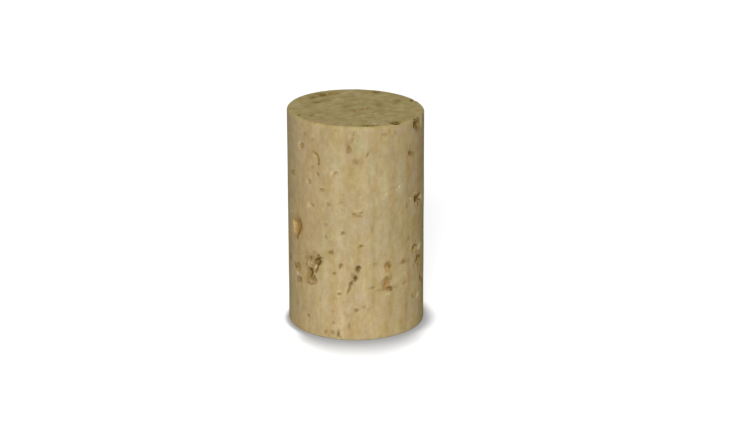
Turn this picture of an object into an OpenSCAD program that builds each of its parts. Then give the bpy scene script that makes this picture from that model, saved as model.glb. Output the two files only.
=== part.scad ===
// Straight stopper, punched in one piece from natural cork bark.
// It stands on its bottom end, with +Z up and its origin in the middle of that end.
// Lenticels, the breathing channels of the bark, run through the cork along one
// direction. They open as pits in the side wall and as slits in the two ends.

/* [Stopper] */
// Diameter of the side wall
diameter = 24; // [18:0.5:32]
// Length on the axis, from the bottom end to the slanted top end
length = 39; // [30:0.5:60]
// Rounding of the edge round each end
edge_r = 0.5; // [0.2:0.1:1.5]
// Slant of the top end, which isn't cut quite square, down towards +X
slant = 1.1; // [0:0.1:3]

/* [Bark] */
// Direction in which the lenticels run through the cork, from +X towards +Y
bark_dir = 30; // [0:5:175]
// How steeply the lenticels fall on their way through, in degrees
slope = 6; // [0:1:10]
// Most that a pit leans towards that direction on its way in
dive_max = 35; // [0:5:45]
// Size of the pits, pores and slits against the sizes in their lists
pit_size = 1; // [0.6:0.05:1.3]

/* [Hidden] */
$fa = 4;
$fs = 0.15;
radius = diameter / 2;
// How far the top end's rounding runs out past the side wall, so that the two cross cleanly
run_out = 0.02;

// Pits in the side wall: turn in degrees from -Y towards +X, height in per cent of the
// length, then long, wide and deep in mm, and lean in degrees, anticlockwise from upright.
PITS = [
    // Right of the middle, where the channels open at a slant
    [60.5, 96.9, 2.3, 1.5, 0.9, -8],
    [60.5, 61.9, 1.9, 1.3, 0.8, 12],
    [67.0, 61.4, 2.1, 1.1, 0.5, 80],
    [58.8, 38.8, 1.5, 1.2, 0.6, 0],
    [64.3, 33.5, 1.6, 1.1, 0.65, 0],
    [61.5, 31.2, 1.3, 0.7, 0.5, -15],
    [71.1, 22.5, 2.7, 1.1, 0.7, 4],
    [56.6, 16.6, 0.9, 0.7, 0.3, 0],
    // Middle right, where a channel runs along just under the wall
    [27.6, 34.9, 1.7, 1.2, 0.4, 0],
    [26.7, 25.7, 2.8, 1.5, 0.45, 0],
    [44.5, 34.9, 1.4, 0.5, 0.3, 78],
    [10.2, 86.8, 1.0, 0.5, 0.4, -15],
    [4.6, 44.7, 0.9, 0.5, 0.35, 90],
    [2.9, 60.0, 1.0, 0.4, 0.35, -58],
    [-1.4, 59.7, 0.9, 0.4, 0.35, 68],
    [1.2, 14.5, 0.9, 0.5, 0.35, 90],
    // The crack that runs down to the left
    [1.4, 34.3, 1.1, 0.8, 0.45, -20],
    [-0.7, 29.8, 1.4, 0.6, 0.55, 12],
    [-3.2, 27.7, 1.0, 0.5, 0.4, -45],
    [-5.6, 25.0, 2.1, 0.4, 0.5, -24],
    // Left of the middle
    [-5.7, 89.9, 1.7, 0.6, 0.5, 12],
    [-17.5, 78.0, 1.0, 0.5, 0.4, -22],
    [-12.2, 64.8, 0.8, 0.4, 0.3, 90],
    [-21.5, 41.4, 1.0, 0.6, 0.4, 90],
    [-12.5, 35.6, 1.5, 0.5, 0.5, -8],
    [-34.3, 84.3, 2.4, 0.6, 0.7, 22],
    [-42.0, 72.6, 1.0, 0.6, 0.4, 22],
    [-64.6, 74.3, 1.0, 0.7, 0.4, 20],
    [-15.2, 3.8, 1.4, 0.45, 0.5, 10],
    [-14.3, 0.9, 1.4, 0.45, 0.5, 6],
    // The broad shallow lenticel at the left edge, with its deep side to the right
    [-58.5, 49.8, 4.0, 2.7, 0.7, 2],
    [-54.5, 49.0, 3.0, 1.0, 1.1, 4],
    // The cluster, where several lenticels have grown into each other
    [-33.2, 37.0, 2.3, 1.4, 0.9, 14],
    [-36.2, 34.0, 2.2, 0.7, 0.9, -26],
    [-39.4, 32.2, 3.4, 0.9, 1.1, -20],
    [-43.6, 29.4, 2.6, 1.2, 0.8, 8],
    [-38.2, 26.8, 1.8, 1.2, 0.7, 16],
    [-43.0, 36.4, 1.8, 0.6, 0.5, -12],
    [-57.6, 30.8, 1.6, 1.2, 0.6, 10],
    [-55.0, 24.5, 1.2, 1.0, 0.45, 0],
];

// Round pores in the side wall: turn and height as for the pits, then wide and deep
PORES = [
    // The deep ends of some of the pits
    [60.0, 96.4, 0.9, 1.5], [60.2, 61.8, 0.9, 1.4], [58.5, 38.7, 0.7, 1.0],
    [64.3, 33.7, 0.7, 1.1], [29.3, 23.7, 0.8, 0.8], [1.5, 34.4, 0.7, 0.9],
    [-0.6, 30.2, 0.4, 0.9], [-33.2, 37.3, 0.9, 1.5], [-38.0, 26.6, 0.8, 1.2],
    [-57.4, 31.0, 0.7, 0.9], [-55.0, 24.5, 0.6, 0.8],
    // Pores that stand alone
    [51.9, 84.2, 0.9, 0.7], [-50.0, 88.4, 0.6, 0.4], [-33.5, 76.7, 0.5, 0.4],
    [-29.6, 69.8, 0.6, 0.5], [-11.0, 50.6, 0.6, 0.5], [-18.6, 31.5, 0.5, 0.5],
    [11.8, 24.3, 0.4, 0.4], [14.4, 24.5, 0.5, 0.4], [-14.1, 21.9, 0.5, 0.4],
    [-44.7, 8.7, 0.6, 0.5], [-19.5, 7.7, 0.4, 0.4], [-26.8, 2.9, 0.5, 0.4],
    [-20.8, 3.2, 0.5, 0.5], [-23.2, 63.5, 0.4, 0.3], [-38.7, 61.8, 0.5, 0.3],
    [38.0, 71.0, 0.4, 0.3],
];

// Lenticels on the side away from these, each a channel that opens at both its ends:
// turn of one end, then as for the pits
BACK_CHANNELS = [
    [158, 88.0, 1.6, 0.8, 0.6, 8],
    [165, 71.0, 1.2, 0.7, 0.5, -14],
    [152, 65.0, 2.6, 1.2, 0.9, 10],
    [172, 43.0, 1.4, 0.9, 0.5, 0],
    [160, 30.0, 1.9, 0.8, 0.7, -18],
    [181, 62.0, 1.0, 0.6, 0.4, 16],
    [188, 21.0, 2.0, 0.6, 0.6, -10],
    [176, 12.0, 1.1, 0.8, 0.4, 20],
    [154, 14.0, 1.5, 0.9, 0.6, 0],
    [195, 80.0, 1.2, 0.6, 0.5, 5],
    [201, 37.0, 1.5, 0.7, 0.5, -12],
];

// Slits in the top end: place in per cent of the radius, X then Y, then long, wide, deep
TOP_SLITS = [
    [-64, 48, 1.0, 0.6, 0.4],
    [-49, 60, 1.3, 0.7, 0.5],
    [-42, 68, 1.1, 0.6, 0.4],
    [-33, 71, 1.2, 0.6, 0.4],
    [-62, 19, 1.1, 0.5, 0.4],
    [-46, 31, 1.5, 0.5, 0.4],
    [-13, 3, 0.9, 0.5, 0.3],
    [-4, -16, 1.0, 0.6, 0.4],
    [14, -5, 1.7, 0.6, 0.5],
    [27, -29, 0.8, 0.5, 0.3],
    [31, -54, 0.9, 0.6, 0.4],
    [50, -11, 0.9, 0.5, 0.3],
    [17, -91, 1.7, 0.5, 0.5],
    [35, -86, 1.0, 0.4, 0.4],
    [57, -76, 2.1, 0.7, 0.8],
    [84, 41, 1.4, 0.8, 0.6],
    [30, 77, 1.2, 0.5, 0.4],
];

// Slits in the bottom end, as for the top
BOTTOM_SLITS = [
    [-70, 22, 1.2, 0.6, 0.4],
    [-55, 40, 1.6, 0.6, 0.6],
    [-38, 50, 1.0, 0.5, 0.4],
    [-20, -62, 2.0, 0.7, 0.8],
    [2, -52, 1.2, 0.6, 0.5],
    [18, 12, 1.0, 0.5, 0.3],
    [40, 24, 1.4, 0.6, 0.5],
    [-8, 78, 1.2, 0.5, 0.4],
    [62, -30, 1.0, 0.6, 0.4],
    [30, 84, 0.9, 0.5, 0.3],
    [-48, -30, 0.9, 0.5, 0.3],
];

// The turn at which the channel that opens at the given turn comes out again
function far_end(turn) = 2 * bark_dir - turn;

// How far a channel falls from its one end at a turn to its other end, in mm
function fall(turn) = diameter * abs(cos(turn - 90 - bark_dir)) * tan(slope);

// How far a channel's mouth at a turn leans towards a greater turn on its way in
function dive(turn) = dive_max * sin(2 * (turn - 90 - bark_dir));

// Half outline of a round end at z = 0, rounded at r, on a body that reaches out to body_r
module end_outline(r, body_r, h) {
    translate([0, -h]) square([body_r, h - edge_r]);
    translate([0, -h]) square([r - edge_r, h]);
    translate([r - edge_r, -edge_r]) circle(edge_r);
}

// The stopper without its pits: a round bar with a square bottom end and a slanted top end
module blank() {
    bar_l = length + radius;
    intersection() {
        mirror([0, 0, 1]) rotate_extrude() end_outline(radius, radius, bar_l);
        translate([0, 0, length]) rotate([0, slant, 0])
            rotate_extrude() end_outline(radius + run_out, 2 * radius, bar_l);
    }
}

// Half outline of a lens that is turned round the Y axis: two arcs that meet at the rim
module half_lens(face_r, face_x) {
    intersection() {
        translate([0, face_x]) circle(face_r);
        translate([0, -face_x]) circle(face_r);
        translate([0, -face_r]) square([face_r, 2 * face_r]);
    }
}

// A pit in a surface at z = 0: a pointed mouth, long along Y and wide along X, over walls
// that close to an edge at the depth. It is a lens on its rim, with its middle in the air,
// so deep is less than half of long.
module pit(long, wide, deep) {
    lens_r = (long * long / 4 + deep * deep) / (2 * deep);
    lens_t = wide * pow(2 * lens_r / long, 2);
    face_r = (lens_r * lens_r + lens_t * lens_t / 4) / lens_t;
    scale(pit_size) translate([0, 0, lens_r - deep]) rotate([0, -90, 0])
        rotate_extrude() half_lens(face_r, face_r - lens_t / 2);
}

// A round pore in a surface at z = 0, which narrows on its way in
module pore(wide, deep) {
    narrowing = 0.3;
    scale(pit_size) translate([0, 0, -deep])
        cylinder(h = 2 * deep, r1 = wide / 2 * (1 - narrowing), r2 = wide / 2 * (1 + narrowing));
}

// Puts a pit or pore into the side wall at a turn and a height. lean tilts it in the wall,
// anticlockwise, and inward tilts its bottom towards a greater turn.
module on_side(turn, height, lean, inward) {
    rotate([0, 0, turn]) translate([0, -radius, height * length / 100])
        rotate([90, 0, 0]) rotate([0, 0, lean]) rotate([0, -inward, 0]) children();
}

// Puts a slit into an end whose surface is at z = 0, long along the bark's direction
module on_end(x, y) {
    translate([x, y, 0] * radius / 100) rotate([0, 0, bark_dir - 90]) children();
}

// One pit of a list, at a turn of its own. A narrow one follows the channel's direction most.
module side_pit(turn, p) {
    on_side(turn, p[1], p[5], dive(turn) * (1 - p[3] / p[2])) pit(p[2], p[3], p[4]);
}

// The pit at which the same channel comes out again
module far_pit(p) {
    translate([0, 0, -fall(p[0])]) side_pit(far_end(p[0]), p);
}

module side_pore(p) {
    on_side(p[0], p[1], 0, dive(p[0])) pore(p[2], p[3]);
}

module stopper() {
    color("tan") difference() {
        blank();
        for (p = PITS) side_pit(p[0], p);
        for (p = PITS) if (p[0] < bark_dir - 60) far_pit(p);
        for (p = PORES) side_pore(p);
        for (p = BACK_CHANNELS) side_pit(p[0], p);
        for (p = BACK_CHANNELS) far_pit(p);
        translate([0, 0, length]) rotate([0, slant, 0])
            for (s = TOP_SLITS) on_end(s[0], s[1]) pit(s[2], s[3], s[4]);
        mirror([0, 0, 1])
            for (s = BOTTOM_SLITS) on_end(s[0], s[1]) pit(s[2], s[3], s[4]);
    }
}

stopper();
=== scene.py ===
"""A natural cork stopper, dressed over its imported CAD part.

The skin is one closed mesh. It starts as a fine lattice on the stopper's plain outline, takes the
pits of the CAD node by ray casting, and gets their crumbly walls, the small pores, the faint
grooves of the bark and a slight unevenness. Lengths in the skin's own code are in millimetres,
and those of the floor, the lamps and the camera are in metres.
"""

import math

import bpy
import numpy as np
from mathutils import Matrix, Vector
from mathutils.bvhtree import BVHTree


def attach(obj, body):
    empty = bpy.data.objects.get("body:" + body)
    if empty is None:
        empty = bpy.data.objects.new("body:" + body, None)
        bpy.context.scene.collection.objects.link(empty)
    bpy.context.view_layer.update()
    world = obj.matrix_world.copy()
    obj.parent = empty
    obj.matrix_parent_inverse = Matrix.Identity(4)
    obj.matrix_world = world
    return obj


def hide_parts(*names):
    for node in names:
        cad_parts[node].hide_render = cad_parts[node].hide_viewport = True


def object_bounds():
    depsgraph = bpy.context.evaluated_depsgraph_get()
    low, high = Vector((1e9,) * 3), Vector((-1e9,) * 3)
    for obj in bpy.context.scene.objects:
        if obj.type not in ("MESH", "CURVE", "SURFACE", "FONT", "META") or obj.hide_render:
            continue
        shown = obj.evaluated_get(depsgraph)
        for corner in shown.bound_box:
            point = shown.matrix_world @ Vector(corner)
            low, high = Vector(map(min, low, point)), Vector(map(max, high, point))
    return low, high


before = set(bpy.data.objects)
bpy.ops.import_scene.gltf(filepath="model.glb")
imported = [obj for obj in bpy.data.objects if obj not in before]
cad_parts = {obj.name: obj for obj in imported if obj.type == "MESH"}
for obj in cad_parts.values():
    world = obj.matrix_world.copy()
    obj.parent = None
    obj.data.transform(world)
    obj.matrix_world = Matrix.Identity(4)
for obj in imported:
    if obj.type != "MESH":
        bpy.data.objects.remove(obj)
CAD_LOW, CAD_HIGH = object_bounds()

MM = 0.001

# The stopper's outline, as in the CAD part
RADIUS = 12.0
LENGTH = 39.0
EDGE_R = 0.5
SLANT = math.radians(1.1)
BARK_DIR = math.radians(30)

# The lattice: coarse cells on each chart, each split into FINE x FINE where the surface needs it
FINE = 4
HALF = FINE // 2
CAP_CELLS = 64
TURN_CELLS = 4 * CAP_CELLS
EDGE_CELLS = 3
SIDE_CELLS = 127
# Relief from one place to the next, from which a cell is split at its finest or into halves
FINE_RELIEF = 0.1
HALF_RELIEF = 0.044
# How often a split is handed on to the cells beside it
SPLIT_PASSES = 6

# Rays that find the pits: where they start and how far they go. The node's facets lie up to
# FACET_ERROR inside its true wall, which is no pit
RAY_START = 1.0
RAY_REACH = 6.0
FACET_ERROR = 0.025

# How far a pit's wall wanders along the surface, and over how many places it is then blurred
WANDER = 0.22
FINE_WANDER = 0.1
PIT_BLUR = 3
# Crumbs on a pit's wall: how rough they are, and how much they take off in all
CRUMB = 0.09
CRUMB_LOSS = 0.03
# Small pores: how many, then the largest one's length, width and depth, and how they lean
PORES = 260
PORE_SIZE = (0.55, 0.34, 0.16)
SIDE_LEAN = 22
END_LEAN = 8
# Plain strips without pores beside the edges
MARGIN = 1.0
TOP_MARGIN = 1.2
# Depth of the hollow under a brown stain and under a dark core, at full strength
BROWN_DENT = 0.06
DARK_DENT = 0.12
# Depth of the surface's wide waves, its fine ones and its darker growth layers, and a layer's width
WIDE_WAVE = 0.02
FINE_WAVE = 0.006
GROOVE = 0.006
LAYER_WIDTH = 0.85
# Turns from the front between which the listed growth layers and stains give way to those that
# the code makes, and how strong the stains are there: brown and dark by the pits' depth, partly
# painted shade
LAYERS_TAKE_OVER = (70, 95)
STAINS_TAKE_OVER = (74, 84)
BACK_STAIN_AND_SHADE = 0.9
# How ragged the edge of a mark is, and of a growth layer, and how wide that raggedness is
RAGGED = 0.25
LAYER_RAGGED = 0.1
RAGGED_CELL = 0.55
# How soft the edge of a stain is, and of other tissue, and how much softer both are on an end
STAIN_SOFT = 0.5
TISSUE_SOFT = 0.6
END_SOFTER = 1.5


# ---------------- smooth seeded noise

def lattice_values(ix, iy, iz, seed):
    """Pseudo-random values from -1 to 1 at whole-number places. Large odd numbers mix the bits."""
    big = np.uint64(0xFFFFFFFF)
    n = (ix.astype(np.int64) * 374761393 + iy.astype(np.int64) * 668265263
         + iz.astype(np.int64) * 2246822519 + seed * 3266489917).astype(np.uint64) & big
    n = ((n ^ (n >> np.uint64(13))) * np.uint64(1274126177)) & big
    n = ((n ^ (n >> np.uint64(16))) * np.uint64(2654435761)) & big
    return ((n >> np.uint64(8)) & np.uint64(0xFFFF)).astype(float) / 32767.5 - 1


def noise(points, cell, seed):
    """Smooth value noise, about -1 to 1, whose features are one cell wide."""
    p = points / cell
    base = np.floor(p)
    t = p - base
    t = t * t * t * (t * (t * 6 - 15) + 10)
    ix, iy, iz = base[:, 0], base[:, 1], base[:, 2]
    total = np.zeros(len(points))
    for cx in (0, 1):
        wx = t[:, 0] if cx else 1 - t[:, 0]
        for cy in (0, 1):
            wy = t[:, 1] if cy else 1 - t[:, 1]
            for cz in (0, 1):
                wz = t[:, 2] if cz else 1 - t[:, 2]
                total += wx * wy * wz * lattice_values(ix + cx, iy + cy, iz + cz, seed)
    return total


def fbm(points, cell, seed, octaves=3):
    """Noise with finer and weaker noise added."""
    total, weight, share = np.zeros(len(points)), 0.0, 1.0
    for k in range(octaves):
        total += share * noise(points, cell / 2 ** k, seed + 17 * k)
        weight += share
        share *= 0.5
    return total / weight


def smooth(value, low, high):
    """0 below low, 1 above high, and smooth between them."""
    t = np.clip((value - low) / (high - low), 0, 1)
    return t * t * (3 - 2 * t)


# ---------------- the plain outline

def side_chart(warp_u, warp_v):
    """Places and outward normals of the side's lattice, with its two rounded edges.

    The warps move each place along the surface, in millimetres round and up the wall.
    """
    cols = TURN_CELLS * FINE
    edge_rows, side_rows = EDGE_CELLS * FINE, SIDE_CELLS * FINE
    rows = 2 * edge_rows + side_rows
    edge_len = EDGE_R * math.pi / 2
    side_len = LENGTH - 2 * EDGE_R
    total = 2 * edge_len + side_len
    along = np.interp(np.arange(rows + 1), (0, edge_rows, edge_rows + side_rows, rows),
                      (0, edge_len, edge_len + side_len, total))
    turn = np.arange(cols) / cols * 2 * math.pi
    v, a = np.broadcast_arrays(np.clip(along[:, None] + warp_v, 0, total),
                               turn[None, :] + warp_u / RADIUS)
    low = np.clip(1 - v / edge_len, 0, 1) * math.pi / 2
    high = np.clip((v - edge_len - side_len) / edge_len, 0, 1) * math.pi / 2
    tilt = high - low
    reach = RADIUS - EDGE_R + EDGE_R * np.cos(tilt)
    z = np.clip(v - edge_len, 0, side_len) + EDGE_R + EDGE_R * np.sin(tilt)
    x, y = reach * np.cos(a), reach * np.sin(a)
    z = z - math.tan(SLANT) * x * z / LENGTH
    place = np.stack([x, y, z], -1)
    normal = np.stack([np.cos(tilt) * np.cos(a), np.cos(tilt) * np.sin(a), np.sin(tilt)], -1)
    return place, normal


def disc_chart(warp_x, warp_y, up):
    """The same for an end: a square lattice drawn onto the disc inside the rounded edge."""
    n = CAP_CELLS * FINE
    s = np.linspace(-1, 1, n + 1)
    u, v = np.meshgrid(s, s)
    wide = np.abs(u) >= np.abs(v)
    r = np.where(wide, u, v)
    safe = np.where(r == 0, 1, r)
    a = np.where(wide, math.pi / 4 * v / safe, math.pi / 2 - math.pi / 4 * u / safe)
    reach = r * (RADIUS - EDGE_R)
    x, y = reach * np.cos(a), reach * np.sin(a)
    # the rim stays in place, and the warp sets in over its first 0.6 mm
    keep = smooth(RADIUS - EDGE_R - np.hypot(x, y), 0, 0.6)
    x, y = x + warp_x * keep, y + warp_y * keep
    z = LENGTH - math.tan(SLANT) * x if up else np.zeros_like(x)
    place = np.stack([x, y, z], -1)
    normal = np.zeros_like(place)
    normal[..., 2] = 1 if up else -1
    return place, normal


# ---------------- one lattice of all the charts

class Chart:
    """One chart of the lattice: the side, or an end."""

    def __init__(self, make, shape, first):
        self.make, self.shape, self.first = make, shape, first
        self.place, self.normal = make(0.0, 0.0)

    @property
    def span(self):
        """Where the chart's places are in the list of all places."""
        return slice(self.first, self.first + self.shape[0] * self.shape[1])

    def warped(self, across, along):
        """The chart's places and normals, each moved along the surface."""
        place, normal = self.make(across.reshape(self.shape), along.reshape(self.shape))
        return place.reshape(-1, 3), normal.reshape(-1, 3)


def make_charts():
    """The side's chart and those of the two ends, one after the other in the list of places."""
    side_shape = ((2 * EDGE_CELLS + SIDE_CELLS) * FINE + 1, TURN_CELLS * FINE)
    cap_shape = (CAP_CELLS * FINE + 1,) * 2
    side = Chart(side_chart, side_shape, 0)
    top = Chart(lambda a, b: disc_chart(a, b, True), cap_shape, side.span.stop)
    bottom = Chart(lambda a, b: disc_chart(a, b, False), cap_shape, top.span.stop)
    return side, top, bottom


CHARTS = make_charts()
SIDE, TOP, BOTTOM = CHARTS
PLACE = np.concatenate([c.place.reshape(-1, 3) for c in CHARTS])
NORMAL = np.concatenate([c.normal.reshape(-1, 3) for c in CHARTS])
COUNT = len(PLACE)
# Turn of each place in degrees, from -Y towards +X
TURN = np.degrees(np.arctan2(PLACE[:, 0], -PLACE[:, 1]))


def pit_depths(across, along):
    """Depth of the CAD node's pits under the plain outline, looked up at slightly warped places."""
    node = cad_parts["stopper"]
    tree = BVHTree.FromPolygons([v.co / MM for v in node.data.vertices],
                                [p.vertices[:] for p in node.data.polygons])
    depth = np.zeros(COUNT)
    for chart in CHARTS:
        place, normal = chart.warped(across[chart.span], along[chart.span])
        starts = (place + normal * RAY_START).tolist()
        ways = (-normal).tolist()
        hits = [tree.ray_cast(s, w, RAY_REACH)[3] for s, w in zip(starts, ways)]
        depth[chart.span] = [RAY_START if h is None else h for h in hits]
    return np.maximum(depth - RAY_START - FACET_ERROR, 0)


def swept(values, before, after, combine):
    """Each chart's values, combined with those near them along its columns and then its rows."""
    out = np.empty_like(values)
    for chart in CHARTS:
        grid = values[chart.span].reshape(chart.shape)
        for axis in (0, 1):
            pad = [(0, 0), (0, 0)]
            pad[axis] = (before, after)
            mode = "wrap" if chart is SIDE and axis == 1 else "edge"
            grid = combine(np.pad(grid, pad, mode=mode), axis, grid.shape[axis])
        out[chart.span] = grid.ravel()
    return out


def blurred(values, cells):
    """Each chart's values averaged over a square of 2 * cells + 1 places."""
    def mean(grid, axis, n):
        total = np.cumsum(grid, axis)
        high = np.take(total, np.arange(n) + 2 * cells + 1, axis)
        return (high - np.take(total, np.arange(n), axis)) / (2 * cells + 1)

    return swept(values, cells + 1, cells, mean)


def largest_near(values, cells):
    """Each chart's largest value within so many places."""
    def largest(grid, axis, n):
        return np.max([np.take(grid, np.arange(n) + k, axis) for k in range(2 * cells + 1)], 0)

    return swept(values, cells, cells, largest)


# ---------------- marks on the surface

def on_end(mark):
    """Whether a mark is on an end, and not on the side."""
    return isinstance(mark[0], str)


def distance(mark, ragged):
    """Distance of each place near an oval mark from its middle, 1 at its edge.

    A mark on the side is (turn in degrees from -Y towards +X, height), and one on an end is
    ("top" or "bottom", x, y), each followed by long, wide, strength and, if it leans, by its
    lean. Returns the places, their distances and the strength.
    """
    if on_end(mark):
        chart = TOP if mark[0] == "top" else BOTTOM
        x, y, *shape = mark[1:]
        du, dv = PLACE[chart.span, 0] - x, PLACE[chart.span, 1] - y
    else:
        chart = SIDE
        turn, z, *shape = mark
        du = np.radians((TURN[chart.span] - turn + 180) % 360 - 180) * RADIUS
        dv = PLACE[chart.span, 2] - z
    long, wide, strength, lean = (*shape, 0)[:4]
    # an oval ends at half its length, and 0.9 leaves room for its soft edge
    reach = max(long, wide) * (0.9 + ragged)
    near = np.flatnonzero((np.abs(du) < reach) & (np.abs(dv) < reach))
    c, s = math.cos(math.radians(lean)), math.sin(math.radians(lean))
    across = (du[near] * c + dv[near] * s) / (wide / 2)
    up = (-du[near] * s + dv[near] * c) / (long / 2)
    near = near + chart.first
    d = np.hypot(across, up) + ragged * fbm(PLACE[near], RAGGED_CELL, 901, 2)
    return near, d, strength


def paint(marks, soft, ragged=RAGGED):
    """A field that is each mark's strength inside it and fades to 0 over its soft edge."""
    field = np.zeros(COUNT)
    for mark in marks:
        near, d, strength = distance(mark, ragged)
        edge = soft * (END_SOFTER if on_end(mark) else 1)
        field[near] = np.maximum(field[near], strength * smooth(-d, -1 - edge, -1 + edge))
    return field


def dents(marks, deep=1.0):
    """Depths of shallow oval hollows, so deep where a mark's strength is 1."""
    field = np.zeros(COUNT)
    for mark in marks:
        near, d, strength = distance(mark, RAGGED)
        field[near] += deep * strength * np.sqrt(np.clip(1 - d, 0, 1))
    return field


def scattered(rng, count, long, wide, deep):
    """Small hollows at random places on the whole surface, some upright and some along the bark."""
    marks = []
    side_share = LENGTH / (LENGTH + RADIUS)
    for _ in range(count):
        size = rng.uniform(0.5, 1.0) ** 2
        shape = (long * size, wide * size * rng.uniform(0.7, 1.4))
        if rng.uniform() < side_share:
            place = (rng.uniform(-180, 180), rng.uniform(MARGIN, LENGTH - TOP_MARGIN))
            lean = rng.normal(0, SIDE_LEAN)
        else:
            a, r = rng.uniform(0, 2 * math.pi), (RADIUS - MARGIN) * math.sqrt(rng.uniform())
            place = (str(rng.choice(["top", "bottom"])), r * math.cos(a), r * math.sin(a))
            lean = math.degrees(BARK_DIR) - 90 + rng.normal(0, END_LEAN)
        marks.append((*place, *shape, deep * size * rng.uniform(0.5, 1.3), lean))
    return marks


def on_top(*marks):
    """Marks on the top end, each given from its X on."""
    return [("top", *mark) for mark in marks]
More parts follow.
